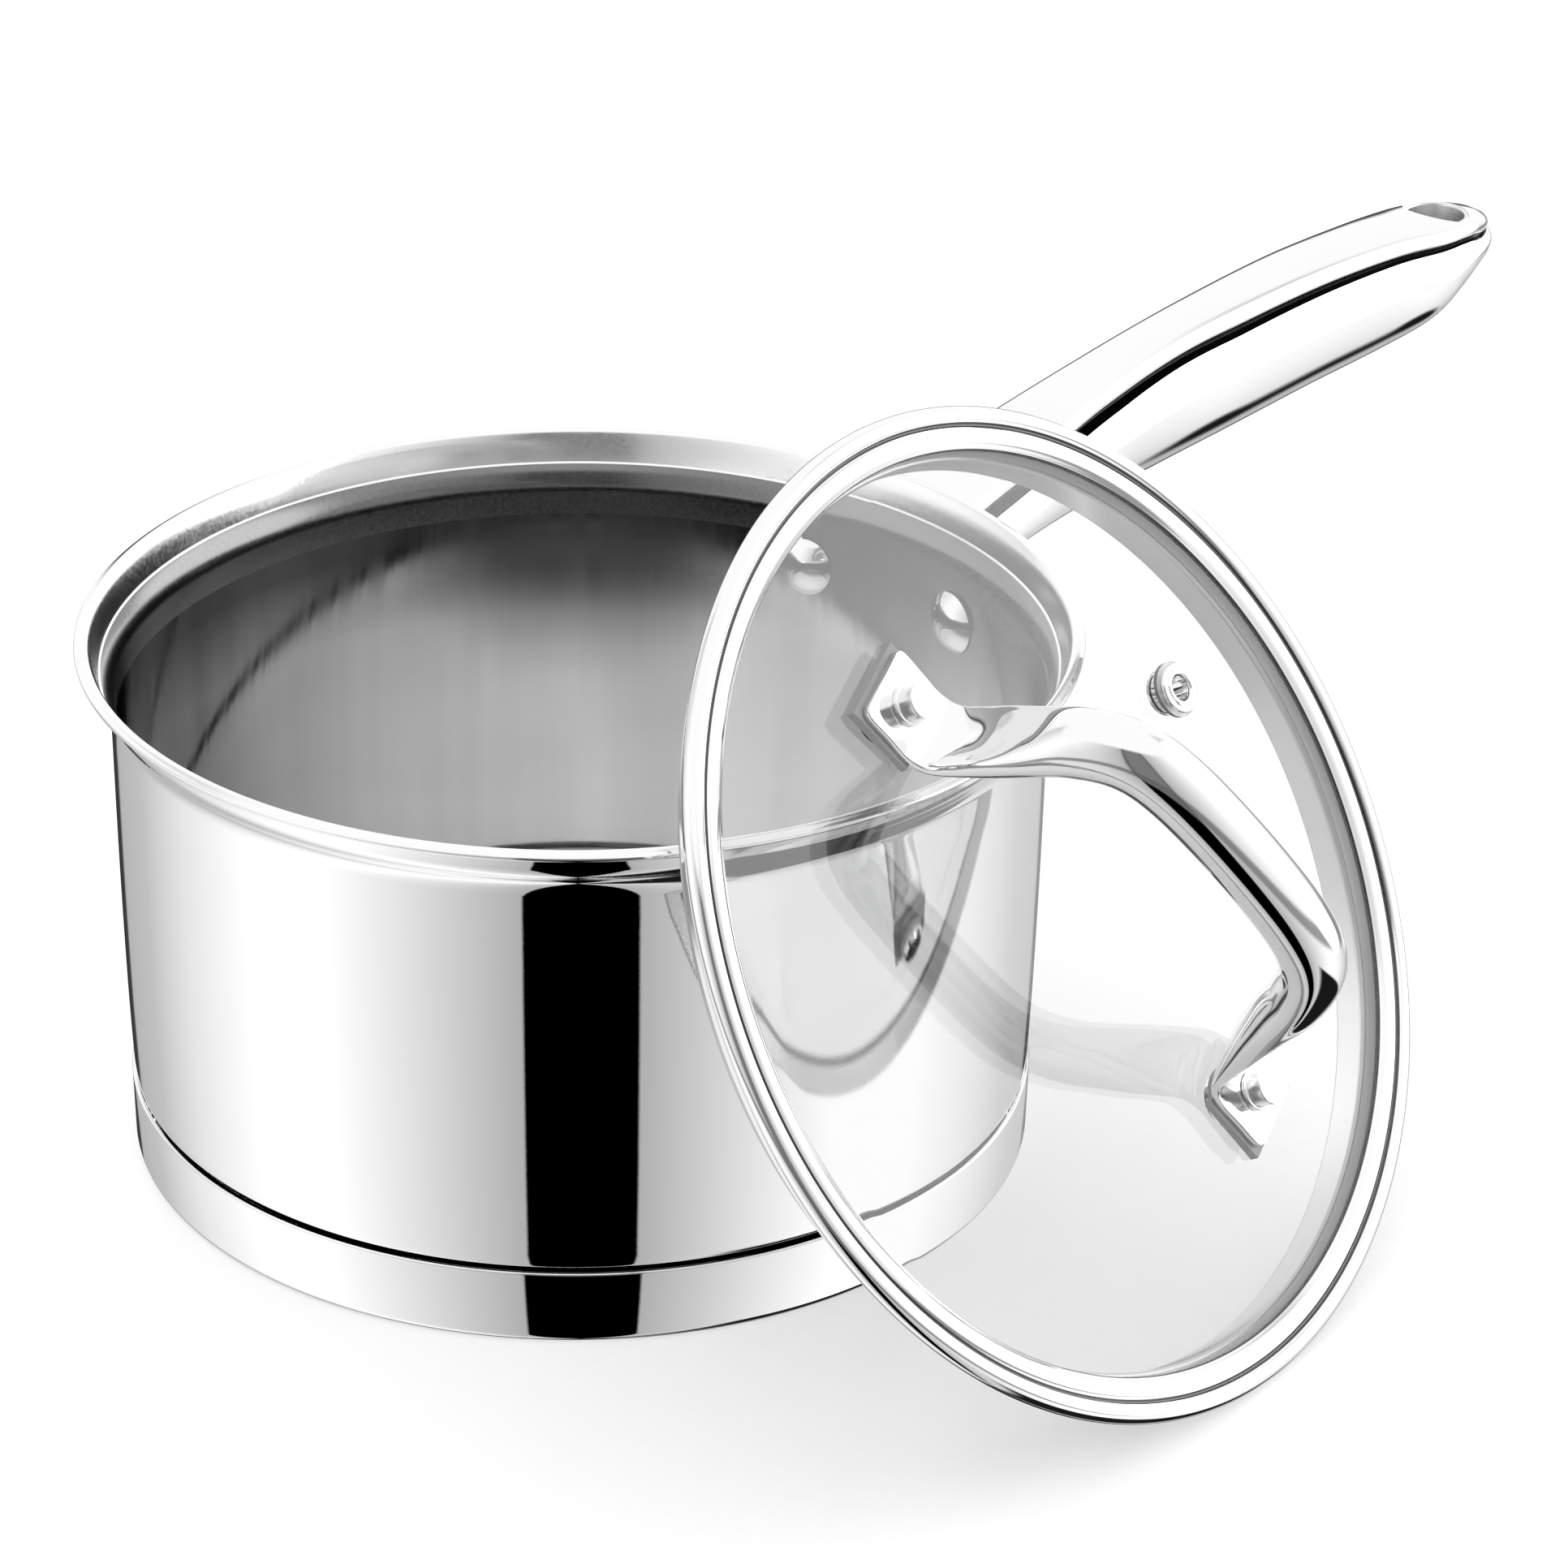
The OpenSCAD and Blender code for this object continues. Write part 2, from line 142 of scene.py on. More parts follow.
def spline(points, steps):
    """Smooth curve through points of any size, with some steps on each span."""
    curve = []
    last = len(points) - 1
    for i in range(last):
        p0 = points[max(i - 1, 0)]
        p1 = points[i]
        p2 = points[i + 1]
        p3 = points[min(i + 2, last)]
        for k in range(steps):
            t = k / steps
            curve.append(tuple(
                0.5 * (2 * b + (c - a) * t + (2 * a - 5 * b + 4 * c - d) * t * t
                       + (3 * b - a - 3 * c + d) * t ** 3)
                for a, b, c, d in zip(p0, p1, p2, p3)))
    curve.append(tuple(float(v) for v in points[last]))
    return curve


# ---- meshes ----

def make_piece(name, verts, faces, materials, body, replaced, face_materials=None, sharp=35):
    """Mesh object with smooth faces and sharp creases, riding on a body in place of CAD nodes."""
    mesh = bpy.data.meshes.new(name)
    mesh.from_pydata([tuple(c * MM for c in v) for v in verts], [], faces)
    for material in materials:
        mesh.materials.append(material)
    if face_materials:
        mesh.polygons.foreach_set("material_index", face_materials)
    mesh.validate()
    mesh.shade_smooth()
    mesh.set_sharp_from_angle(angle=math.radians(sharp))
    piece = bpy.data.objects.new(name, mesh)
    bpy.context.scene.collection.objects.link(piece)
    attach(piece, body)
    if replaced:
        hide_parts(*replaced)
    return piece


def lathe(bands, segments):
    """Vertices, faces and each face's band for a closed outline turned round Z.

    The outline is a list of bands of (radius, height) points, one band per material."""
    outline = [(r, z, n) for n, band in enumerate(bands) for r, z in band]
    verts = []
    rings = []
    for r, z, _ in outline:
        if r < 1e-6:
            rings.append([len(verts)] * segments)
            verts.append((0, 0, z))
            continue
        rings.append(range(len(verts), len(verts) + segments))
        for j in range(segments):
            a = 2 * math.pi * j / segments
            verts.append((r * math.cos(a), r * math.sin(a), z))
    faces = []
    face_bands = []
    for i, (_, _, band) in enumerate(outline):
        low, high = rings[i], rings[(i + 1) % len(rings)]
        for j in range(segments):
            k = (j + 1) % segments
            corners = list(dict.fromkeys((low[j], low[k], high[k], high[j])))
            if len(corners) > 2:
                faces.append(corners)
                face_bands.append(band)
    return verts, faces, face_bands


def placed(verts, place):
    """Vertices moved by a matrix whose shift is in millimetres."""
    return [tuple(place @ Vector(v)) for v in verts]


def turned_piece(name, bands, materials, body, replaced, place=None, segments=192, sharp=35):
    verts, faces, face_bands = lathe(bands, segments)
    if place:
        verts = placed(verts, place)
    return make_piece(name, verts, faces, materials, body, replaced, face_bands, sharp)


def loft(rings):
    """Faces through rings of the same number of points, closed at both ends."""
    n = len(rings[0])
    verts = [p for ring in rings for p in ring]
    faces = []
    for i in range(len(rings) - 1):
        for j in range(n):
            k = (j + 1) % n
            faces.append((i * n + j, (i + 1) * n + j, (i + 1) * n + k, i * n + k))
    faces.append(tuple(range(n)))
    faces.append(tuple(reversed(range(len(verts) - n, len(verts)))))
    return verts, faces


# ---- materials ----

class Nodes:
    """Small helper that adds nodes to a material and links them."""

    def __init__(self, name):
        self.material = bpy.data.materials.new(name)
        self.material.use_nodes = True
        self.tree = self.material.node_tree
        self.shader = self.tree.nodes["Principled BSDF"]

    def add(self, kind, settings=None, **inputs):
        node = self.tree.nodes.new(kind)
        for key, value in (settings or {}).items():
            setattr(node, key, value)
        for key, value in inputs.items():
            self.feed(node, key.replace("_", " "), value)
        return node

    def feed(self, node, socket, value):
        target = node.inputs[socket]
        if isinstance(value, bpy.types.NodeSocket):
            self.tree.links.new(value, target)
        else:
            target.default_value = value

    def set(self, **inputs):
        for key, value in inputs.items():
            self.feed(self.shader, key.replace("_", " "), value)

    def coords(self, scale=(1, 1, 1)):
        source = self.add("ShaderNodeTexCoord").outputs["Object"]
        return self.add("ShaderNodeMapping", Vector=source, Scale=scale).outputs["Vector"]

    def noise(self, vector, scale, detail=4.0):
        return self.add("ShaderNodeTexNoise", Vector=vector, Scale=scale, Detail=detail).outputs["Fac"]

    def ramp(self, value, low, high, start=0.3, end=0.7):
        """Maps a value between two limits to a number between low and high."""
        node = self.add("ShaderNodeMapRange", Value=value)
        node.inputs["From Min"].default_value = start
        node.inputs["From Max"].default_value = end
        node.inputs["To Min"].default_value = low
        node.inputs["To Max"].default_value = high
        return node.outputs["Result"]

    def mix_colour(self, factor, a, b):
        node = self.add("ShaderNodeMix", {"data_type": "RGBA"})
        self.feed(node, 0, factor)
        self.feed(node, 6, a)
        self.feed(node, 7, b)
        return node.outputs[2]

    def bump(self, height, distance, strength=1.0):
        return self.add("ShaderNodeBump", Height=height, Distance=distance,
                        Strength=strength).outputs["Normal"]


def grey(value, blue=0.0):
    return (value, value, value * (1 + blue), 1)


def polished_steel(name, tone=0.93, roughness=0.035, smudge=0.03):
    """Mirror-polished steel with faint haze and very fine polishing marks."""
    n = Nodes(name)
    haze = n.noise(n.coords(), 26.0, 3.0)
    marks = n.noise(n.coords((1, 1, 9)), 900.0, 2.0)
    n.set(Metallic=1.0)
    n.set(Base_Color=n.mix_colour(haze, grey(tone - 0.015), grey(tone + 0.01, 0.004)))
    n.set(Roughness=n.ramp(haze, roughness, roughness + smudge))
    n.set(Normal=n.bump(marks, 0.0000015))
    return n.material


def painted_shade_along(n, direction, near, far, low, high):
    """Painted shade: a number that goes from low to high between two places along a direction, in metres."""
    place = n.add("ShaderNodeTexCoord").outputs["Object"]
    depth = n.add("ShaderNodeVectorMath", {"operation": "DOT_PRODUCT"})
    n.feed(depth, 0, place)
    n.feed(depth, 1, direction)
    return n.ramp(depth.outputs["Value"], low, high, near, far)


def product(n, first, second):
    node = n.add("ShaderNodeMath", {"operation": "MULTIPLY"})
    n.feed(node, 0, first)
    n.feed(node, 1, second)
    return node.outputs[0]


def shade(n, tone):
    return n.add("ShaderNodeCombineColor", Red=tone, Green=tone, Blue=tone).outputs["Color"]


def satin_wall_painted_shade(name):
    """Inner wall: softly drawn steel with upright streaks, and painted shade that makes it darker at its
    near and left sides and top, standing in for dark reflections.
    """
    n = Nodes(name)
    streaks = n.noise(n.coords((1, 1, 0.02)), 330.0, 3.0)
    broad = n.noise(n.coords((1, 1, 0.05)), 60.0, 3.0)
    n.set(Metallic=1.0)
    # Painted shade: darker towards the near side, the left and the top, standing in for dark reflections;
    # the broad noise adds random tone.
    tone = product(n, painted_shade_along(n, AWAY, -0.03, 0.05, 0.25, 0.9), painted_shade_along(n, UP, 0.062, 0.078, 1, 0.3))
    tone = product(n, tone, painted_shade_along(n, ASIDE, -0.07, -0.02, 0.4, 1))
    tone = product(n, tone, n.ramp(broad, 0.85, 1.05))
    n.set(Base_Color=shade(n, tone))
    n.set(Roughness=n.ramp(streaks, 0.06, 0.12))
    n.set(Normal=n.bump(streaks, 0.00002))
    return n.material


def satin_floor_painted_shade(name):
    """Pan floor: circular brushed steel, with painted shade that makes it darker at its near side, standing
    in for the dark wall it mirrors.
    """
    n = Nodes(name)
    place = n.add("ShaderNodeTexCoord").outputs["Object"]
    flat = n.add("ShaderNodeVectorMath", {"operation": "MULTIPLY"})
    n.feed(flat, 0, place)
    n.feed(flat, 1, (1, 1, 0))
    length = n.add("ShaderNodeVectorMath", {"operation": "LENGTH"})
    n.feed(length, 0, flat.outputs[0])
    rings = n.add("ShaderNodeCombineXYZ", X=length.outputs["Value"])
    brushing = n.noise(rings.outputs["Vector"], 2600.0, 2.0)
    cloud = n.noise(place, 30.0, 3.0)
    n.set(Metallic=0.25)
    # Painted shade: darker towards the near side, standing in for the dark wall mirrored there; the cloud
    # noise adds random tone.
    tone = product(n, painted_shade_along(n, AWAY, -0.062, -0.02, 0.2, 0.98), n.ramp(cloud, 0.9, 1.0))
    n.set(Base_Color=shade(n, tone))
    n.set(Roughness=n.ramp(brushing, 0.32, 0.42))
    n.set(Normal=n.bump(brushing, 0.000006))
    return n.material


def dull_steel(name, tone, roughness):
    """Steel with an even grain, for parts that aren't polished."""
    n = Nodes(name)
    grain = n.noise(n.coords(), 1500.0, 3.0)
    n.set(Metallic=1.0)
    n.set(Base_Color=n.mix_colour(grain, grey(tone - 0.03), grey(tone + 0.03)))
    n.set(Roughness=n.ramp(grain, roughness - 0.04, roughness + 0.04))
    n.set(Normal=n.bump(grain, 0.0000005))
    return n.material


def brushed_aluminium(name):
    n = Nodes(name)
    grain = n.noise(n.coords((1, 1, 12)), 700.0, 3.0)
    n.set(Metallic=1.0)
    n.set(Base_Color=n.mix_colour(grain, grey(0.35), grey(0.5, 0.02)))
    n.set(Roughness=n.ramp(grain, 0.35, 0.5))
    n.set(Normal=n.bump(grain, 0.00001))
    return n.material


def clear_glass(name):
    n = Nodes(name)
    wave = n.noise(n.coords(), 14.0, 2.0)
    n.set(Transmission_Weight=1.0, IOR=1.52)
    # The grey tint, darker than clear glass, is painted shade: it dims what is seen through the glass like
    # the shaded floor behind the lid.
    n.set(Base_Color=n.mix_colour(wave, (0.8, 0.803, 0.802, 1), (0.82, 0.823, 0.822, 1)))
    n.set(Roughness=n.ramp(wave, 0.0, 0.004))
    return n.material


def clear_silicone(name, low=0.78, high=0.9, clearness=0.7):
    n = Nodes(name)
    grain = n.noise(n.coords(), 900.0, 4.0)
    n.set(Transmission_Weight=clearness, IOR=1.41)
    n.set(Base_Color=n.mix_colour(grain, grey(low), grey(high)))
    n.set(Roughness=n.ramp(grain, 0.3, 0.45))
    n.set(Normal=n.bump(grain, 0.00001))
    return n.material


MIRROR = polished_steel("mirror_steel", 0.93, 0.012, 0.01)
LIP = dull_steel("lip_steel", 0.93, 0.2)
HANDLE = polished_steel("handle_steel", 0.93, 0.04, 0.03)
RIM = polished_steel("rim_steel", 0.93, 0.03, 0.03)
RIVET = polished_steel("rivet_steel", 0.9, 0.06, 0.05)
# Dark steel on the shoulder inside the flare: painted shade standing in for dark reflections.
SHOULDER_SHADE = dull_steel("shoulder_painted_shade", 0.22, 0.2)
# Near-black steel for lines in the lid's rim: painted shade standing in for dark lines mirrored in the
# valley and at the inner edge.
RIM_LINES_SHADE = dull_steel("rim_lines_painted_shade", 0.1, 0.25)
# Near-black steel for the handle's crease: painted shade where the crease is in shadow.
CREASE = dull_steel("crease_painted_shade", 0.06, 0.3)
SLEEVE = dull_steel("sleeve_steel", 0.8, 0.3)
SKIRT = dull_steel("skirt_steel", 0.55, 0.32)
STUD = dull_steel("stud_steel", 0.92, 0.22)
INNER_WALL_PAINTED_SHADE = satin_wall_painted_shade("satin_wall_painted_shade")
INNER_FLOOR_PAINTED_SHADE = satin_floor_painted_shade("satin_floor_painted_shade")
ALUMINIUM = brushed_aluminium("aluminium")
GLASS = clear_glass("lid_glass")
SILICONE = clear_silicone("silicone")
GASKET = clear_silicone("gasket_silicone", 0.88, 0.95, 0.95)
# Grey pads: painted shade standing in for the dark band under the lid handle's plates.
SHADED_PAD = clear_silicone("pad_silicone_painted_shade", 0.3, 0.4, 0.3)


# ---- pan ----

def pan_shell():
    wall_in = WALL_R - WALL_T
    inner_z = FLOOR_Z + WALL_T
    flare_x = WALL_R + FLARE_R
    outside = ([(0, FLOOR_Z)] + arc(FOOT_R - CORNER_R, FLOOR_Z + CORNER_R, CORNER_R, -90, 0, 12)
               + [(FOOT_R, CAP_H + 0.6), (FOOT_R + 0.8, CAP_H + 0.95)]
               + arc(FOOT_R + 0.8, CAP_H + 1.25, 0.3, -90, 0, 5)
               + spline([(FOOT_R + 1.15, CAP_H + 1.6), (WALL_R - 1, 31), (WALL_R - 0.4, 55),
                         (WALL_R, FLARE_Z - 4)], 6))
    under = (arc(flare_x, FLARE_Z, FLARE_R, 180, 128, 16)
             + spline([(RIM_R - 3.1, PAN_H - 4.7), (RIM_R - 2.8, PAN_H - 3.4), (RIM_R - 2.35, PAN_H - 1.9),
                       (RIM_R - 1.8, PAN_H - 1.35), (RIM_R - 1, PAN_H - 1.45)], 5)
             + arc(RIM_R - RIM_EDGE_R, RIM_EDGE_Z, RIM_EDGE_R, -90, 75, 9))
    lip = (spline([(RIM_R - 0.75, PAN_H - 0.4), (RIM_R - 1.4, PAN_H - 0.05), (RIM_R - 2.1, PAN_H - 0.15),
                   (RIM_R - 2.75, PAN_H - 1.1), (RIM_R - 3.3, PAN_H - 2.6), (RIM_R - 3.8, PAN_H - 4.4),
                   (RIM_R - 4.1, PAN_H - 5.6)], 6))
    # The shoulder inside the flare gets the dark shoulder material: painted shade.
    shoulder = arc(flare_x, FLARE_Z, FLARE_R + WALL_T, 131, 178, 16)
    wall = [(wall_in, FLARE_Z - 4), (wall_in - 0.4, 55), (wall_in - 1, 31)]
    corner = arc(FOOT_IN_R - FILLET_IN_R, inner_z + FILLET_IN_R, FILLET_IN_R, 0, -90, 14)
    floor = [(60, inner_z), (40, inner_z), (20, inner_z), (0, inner_z)]
    return turned_piece("pan_body", [outside + under, lip, shoulder, wall + corner[:5],
                                     corner[5:] + floor],
                        [MIRROR, LIP, SHOULDER_SHADE, INNER_WALL_PAINTED_SHADE, INNER_FLOOR_PAINTED_SHADE], "pan",
                        ["pan_shell"], segments=320, sharp=30)


def base_cap():
    flat_r = CAP_R - 0.3 - CAP_FILLET
    outline = ([(0, 0.15), (flat_r - 6, 0.15), (flat_r - 5, 0)]
               + arc(flat_r, CAP_FILLET, CAP_FILLET, -90, 0, 12)
               + arc(CAP_R - 0.35, CAP_H - 0.35, 0.35, 0, 90, 5) + [(CAP_R - CAP_T, CAP_H)]
               + arc(flat_r, CAP_FILLET, CAP_FILLET - CAP_T, 0, -90, 8) + [(0, CAP_T)])
    return turned_piece("base_cap_piece", [outline], [MIRROR], "pan",
                        ["base_cap"], segments=320)


def rivets():
    dome_r = (RIVET_HEAD_R ** 2 + RIVET_HEAD_H ** 2) / (2 * RIVET_HEAD_H)
    dome_a = math.degrees(math.asin(RIVET_HEAD_R / dome_r))
    seat = WALL_R - WALL_T - 0.55
    top = seat - RIVET_HEAD_H + dome_r
    head = arc(0, top, dome_r, -90, -90 + dome_a, 16)
    head[0] = (0, head[0][1])
    outline = (head + [(RIVET_HEAD_R, seat), (RIVET_SHANK_R, seat), (RIVET_SHANK_R, BRACKET_OUT),
                       (RIVET_TAIL_R, BRACKET_OUT), (RIVET_TAIL_R - 0.6, BRACKET_OUT + 1.2),
                       (0, BRACKET_OUT + 1.5)])
    for side, word in ((1, "left"), (-1, "right")):
        place = (Matrix.Rotation(math.radians(side * RIVET_ANGLE), 4, "Z")
                 @ Matrix.Translation((0, 0, RIVET_Z)) @ Matrix.Rotation(math.radians(90), 4, "Y"))
        turned_piece(f"rivet_{word}", [outline], [RIVET], "pan",
                     [f"pan_rivet_{word}"], place, 64)


def handle_sections():
    """Sections of the long handle: place, half width, seam height, crease height, belly, size."""
    sections = []
    for x, spine, half, belly in spline(HANDLE_STATIONS, 10):
        size = min(1, half / FULL_HALF_W)
        along = (x - CREASE_ROOT[0]) / (CREASE_TIP[0] - CREASE_ROOT[0])
        crease = CREASE_ROOT[1] + min(1, max(-0.2, along)) * (CREASE_TIP[1] - CREASE_ROOT[1])
        sections.append((x, half, spine - CAP_RISE * size, crease * size, belly, size))
    return sections


def upper_lobe():
    """Upper half of the long handle: a crowned bar that curls under at its edges."""
    rings = []
    for x, half, seam, crease, _, size in handle_sections():
        curl = 0.35 * crease
        under = [(half - curl * (1 - math.cos(b)), seam - curl * math.sin(b))
                 for b in (math.pi / 2 * i / 6 for i in range(1, 7))]
        ring = [(x, half * math.cos(a), seam + CAP_RISE * size * math.sin(a))
                for a in (math.pi * i / 36 for i in range(37))]
        ring += [(x, -y, z) for y, z in under]
        ring += [(x, y, z) for y, z in reversed(under)]
        rings.append(ring)
    # Faces that curl under into the crease get the dark material: painted shade.
    crease_shade_flags = [0] * 36 + [0, 0, 0, 1, 1, 1, 1, 1, 1, 1, 0, 0, 0]
    return loft(rings), crease_shade_flags


def lower_lobe():
    """Lower half of the long handle: a deep rounded trough behind a recessed crease."""
    rings = []
    for x, half, seam, crease, belly, size in handle_sections():
        wide = half + BELLY_BULGE * size
        shoulder = seam - crease
        a0 = math.acos((half - min(0.3, half / 4)) / wide)
        deep = (shoulder - belly) / (1 + math.sin(a0))
        mid = belly + deep
        back = half - 0.9 * crease
        recess = [(back, seam - 0.4 * crease), (back, shoulder + 0.25 * crease),
                  (back + 0.2 * crease, shoulder + 0.05 * crease)]
        ring = [(x, -y, z) for y, z in recess]
        ring += [(x, wide * math.cos(a), mid + deep * math.sin(a))
                 for a in (math.pi - a0 + (math.pi + 2 * a0) * i / 48 for i in range(49))]
        ring += [(x, y, z) for y, z in reversed(recess)]
        rings.append(ring)
    # Faces of the recessed crease get the dark material: painted shade.
    crease_shade_flags = [1, 1, 1] + [0] * 48 + [1, 1, 1, 1]
    return loft(rings), crease_shade_flags


def cut_piece(piece, r, x, y, low, high):
    """Cuts an upright cylinder out of a piece, from one height to another."""
    verts, faces, _ = lathe([[(0, low), (r, low), (r, high), (0, high)]], 192)
    cutter = bpy.data.objects.new("cutter", bpy.data.meshes.new("cutter"))
    cutter.data.from_pydata([((a + x) * MM, (b + y) * MM, c * MM) for a, b, c in verts], [], faces)
    bpy.context.scene.collection.objects.link(cutter)
    cut = piece.modifiers.new("cut", "BOOLEAN")
    cut.object = cutter
    cut.solver = "EXACT"
    bpy.context.view_layer.objects.active = piece
    with bpy.context.temp_override(object=piece, active_object=piece):
        bpy.ops.object.modifier_apply(modifier="cut")
    bpy.data.objects.remove(cutter)


def long_handle():
    for name, build, node in (("handle_upper", upper_lobe, "handle_upper_shell"),
                              ("handle_lower", lower_lobe, "handle_lower_shell")):
        (verts, faces), crease_shade_flags = build()
        # The crease faces take the dark crease material: painted shade in the crease.
        dark = crease_shade_flags * (len(handle_sections()) - 1) + [0, 0]
        piece = make_piece(name, verts, faces, [HANDLE, CREASE], "pan", [node], dark)
        cut_piece(piece, BRACKET_OUT, 0, 0, *HANDLE_CUT)
        cut_piece(piece, HANG_R + SLEEVE_T, HANG_X, 0, *HANDLE_CUT)
        piece.data.shade_smooth()
        piece.data.set_sharp_from_angle(angle=math.radians(35))


def hang_hole_sleeve():
    outer_r = HANG_R + SLEEVE_T
    outline = ([(HANG_R, SLEEVE_LOW), (outer_r, SLEEVE_LOW), (outer_r, SLEEVE_HIGH)]
               + arc(HANG_R + SLEEVE_T / 2, SLEEVE_HIGH, SLEEVE_T / 2, 0, 180, 8))
    return turned_piece("hole_sleeve", [outline], [SLEEVE], "pan",
                        ["hang_hole_sleeve"], Matrix.Translation((HANG_X, 0, 0)), 96)


# ---- lid ----

def lid_place():
    lean = math.radians(LID_LEAN)
    curve_r = GLASS_FLAT_R ** 2 / (2 * GLASS_RISE)
    under_touch = GLASS_RISE - TOUCH_UP ** 2 / (2 * curve_r) - GLASS_T
    height = (LID_R - BEAD_R) * math.cos(lean) + BEAD_R + 0.05
    reach = (RIM_EDGE_Z - height) * math.sin(lean) + RIM_EDGE_R + TOUCH_GAP - under_touch
    out = RIM_R - RIM_EDGE_R + reach / math.cos(lean)
    azimuth = math.radians(LID_AZIMUTH)
    return (Matrix.Translation((out * math.cos(azimuth), out * math.sin(azimuth), height))
            @ Matrix.Rotation(azimuth, 4, "Z") @ Matrix.Rotation(math.pi / 2 - lean, 4, "Y")
            @ Matrix.Rotation(math.radians(LID_TURN), 4, "Z"))


LID = lid_place()


def glass_z(r):
    """Height of the glass's upper face over the bead's plane."""
    return GLASS_RISE * (1 - min(1, (r / GLASS_FLAT_R) ** 2))


def lid_rim():
    low = -GLASS_T
    bead = arc(LID_R - BEAD_R, 0, BEAD_R, -100, 138, 30)
    valley = [(83.75, 1.0), (83.55, 0.75), (83.25, 0.72)]
    ring = spline([(82.95, 0.95), (82.4, 1.25), (81.5, 1.42), (80.4, 1.12), (79.5, 0.6)], 6)
    inner_edge = [(79.3, 0.5), (79.1, 0.3)]
    channel = [(79.1, 0.2), (79.3, 0.05), (83.3, 0.05), (83.3, low - 0.5), (78.2, low - 0.5)]
    skirt = [(77.8, low - 1), (77.8, -10.2)] + arc(78.2, -10.2, 0.4, 180, 360, 6)
    outer = (arc(79.6, low - 2.1, 1, 180, 90, 6) + [(83, low - 1.1)]
             + spline([(83.4, low - 1), (83.7, low + 0.4), (83.9, low + 1.6), (84.5, low + 2.15)], 4))
    # The valley and the inner edge carry painted shade.
    return turned_piece("rim_band", [bead, valley, ring, inner_edge, channel + skirt, outer],
                        [RIM, RIM_LINES_SHADE, RIM, RIM_LINES_SHADE, SKIRT, RIM], "lid", ["lid_rim"], LID, 320)


def glass_disc():
    """Domed glass with a rounded edge and a hole for each stud and for the vent."""
    low = -GLASS_T
    radii = [GLASS_FLAT_R * i / 24 for i in range(25)]
    upper = [(r, glass_z(r)) for r in radii]
    edge = (arc(GLASS_EDGE_R - 0.6, -0.6, 0.6, 90, 0, 5)
            + arc(GLASS_EDGE_R - 0.6, low + 0.6, 0.6, 0, -90, 5))
    lower = [(r, glass_z(r) - GLASS_T) for r in reversed(radii)]
    verts, faces, _ = lathe([upper + edge + lower], 256)
    piece = make_piece("glass_disc", verts, faces, [GLASS], "lid", ["lid_glass"])
    for x, y, r in ((-POST_X, 0, STUD_HOLE_R), (POST_X, 0, STUD_HOLE_R), (0, VENT_Y, VENT_HOLE_R)):
        cut_piece(piece, r, x, y, *GLASS_CUT)
    piece.data.transform(Matrix.Scale(MM, 4) @ LID @ Matrix.Scale(1 / MM, 4))
    piece.data.shade_smooth()
    piece.data.set_sharp_from_angle(angle=math.radians(35))
    piece.visible_shadow = False
    return piece


def vent_eyelet():
    top = glass_z(VENT_Y)
    low = top - GLASS_T
    outline = ([(2.2, low - 0.9), (3.7, low - 0.9), (3.9, low - 0.6), (3.9, low - 0.2), (3.1, low - 0.2),
                (3.1, top + 0.9), (3.8, top + 0.9)]
               + arc(3.9, top + 1.5, 0.6, -90, 60, 8)
               + spline([(4.1, top + 2.05), (3.6, top + 1.9), (3.1, top + 2.2)], 4)
               + arc(2.9, top + 1.6, 0.7, 70, 180, 8))
    place = LID @ Matrix.Translation((0, VENT_Y, 0))
    return turned_piece("vent_ring", [outline], [RIM], "lid", ["vent_eyelet"], place, 64)


def lid_posts():
    top = PLATE_TOP + 3.8
    low = glass_z(POST_X) - GLASS_T - 2.2
    outline = ([(0, low), (2.4, low), (2.4, PLATE_TOP + 0.03), (3.55, PLATE_TOP + 0.03)]
               + arc(3.3, PLATE_TOP + 0.5, 0.25, 0, 90, 4) + [(POST_R, PLATE_TOP + 0.85)]
               + arc(POST_R - 0.25, top - 0.25, 0.25, 0, 90, 5) + [(0, top)])
    for side, word in ((-1, "upper"), (1, "lower")):
        turned_piece(f"stud_{word}", [outline], [STUD], "lid", [f"lid_post_{word}"],
                     LID @ Matrix.Translation((side * POST_X, 0, 0)), 64)


# Half of the lid handle: distance from the middle, height, half width, half thickness,
# squareness of the section and depth of the hollow pressed into its outer side
LID_HANDLE_HALF = (
    (-PLATE_END, PLATE_MID, PLATE_HALF_W - 1.3, PLATE_HALF_T, 8, 0),
    (-PLATE_END + 1.2, PLATE_MID, PLATE_HALF_W, PLATE_HALF_T, 8, 0),
    (-POST_X, PLATE_MID, PLATE_HALF_W, PLATE_HALF_T, 8, 0),
    (-43, PLATE_MID, PLATE_HALF_W, PLATE_HALF_T, 8, 0),
    (-39.6, 5.4, PLATE_HALF_W, 1.2, 4, 0.7), (-37.6, 9.6, 7.6, 2.3, 2.8, 2.2),
    (-35.9, 14.6, 7.4, 3.6, 2.4, 3.2),
    (-33.6, 21, 7, 4.7, 2, 1.5), (-30.6, 28.6, 6.5, 5.4, 2, 0.3), (-25, 35.4, 6.2, 5.7, 2, 0),
    (-16, LID_HANDLE_H - 0.9, 6.1, 5.8, 2, 0), (0, LID_HANDLE_H, 6.1, 5.8, 2, 0),
)
LID_HANDLE_SIDES = 64


def rounded_power(c, n):
    return math.copysign(abs(c) ** (2 / n), c)


